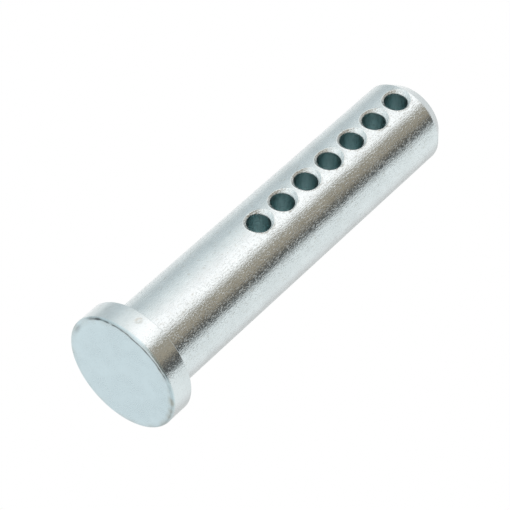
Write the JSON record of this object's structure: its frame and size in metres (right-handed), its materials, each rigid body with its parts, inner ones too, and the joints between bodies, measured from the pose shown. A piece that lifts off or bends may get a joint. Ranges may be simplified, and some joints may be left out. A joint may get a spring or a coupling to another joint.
{
  "type": "adjustable clevis pin",
  "caption": "Headed steel clevis pin with a chamfered tip and a row of countersunk cross holes, so that one hairpin sets its grip length.",
  "frame": {"origin": "centre of the head's outer face", "axes": "+Z along the shank from head to tip; the cross holes run along Y"},
  "size_m": [0.0258, 0.0258, 0.0941],
  "materials": {
    "zinc_plated_steel": "clear zinc plating, satin, with drawn lines along the shank"
  },
  "bodies": {
    "root": {"clevis_pin": "zinc_plated_steel"}
  },
  "joints": []
}
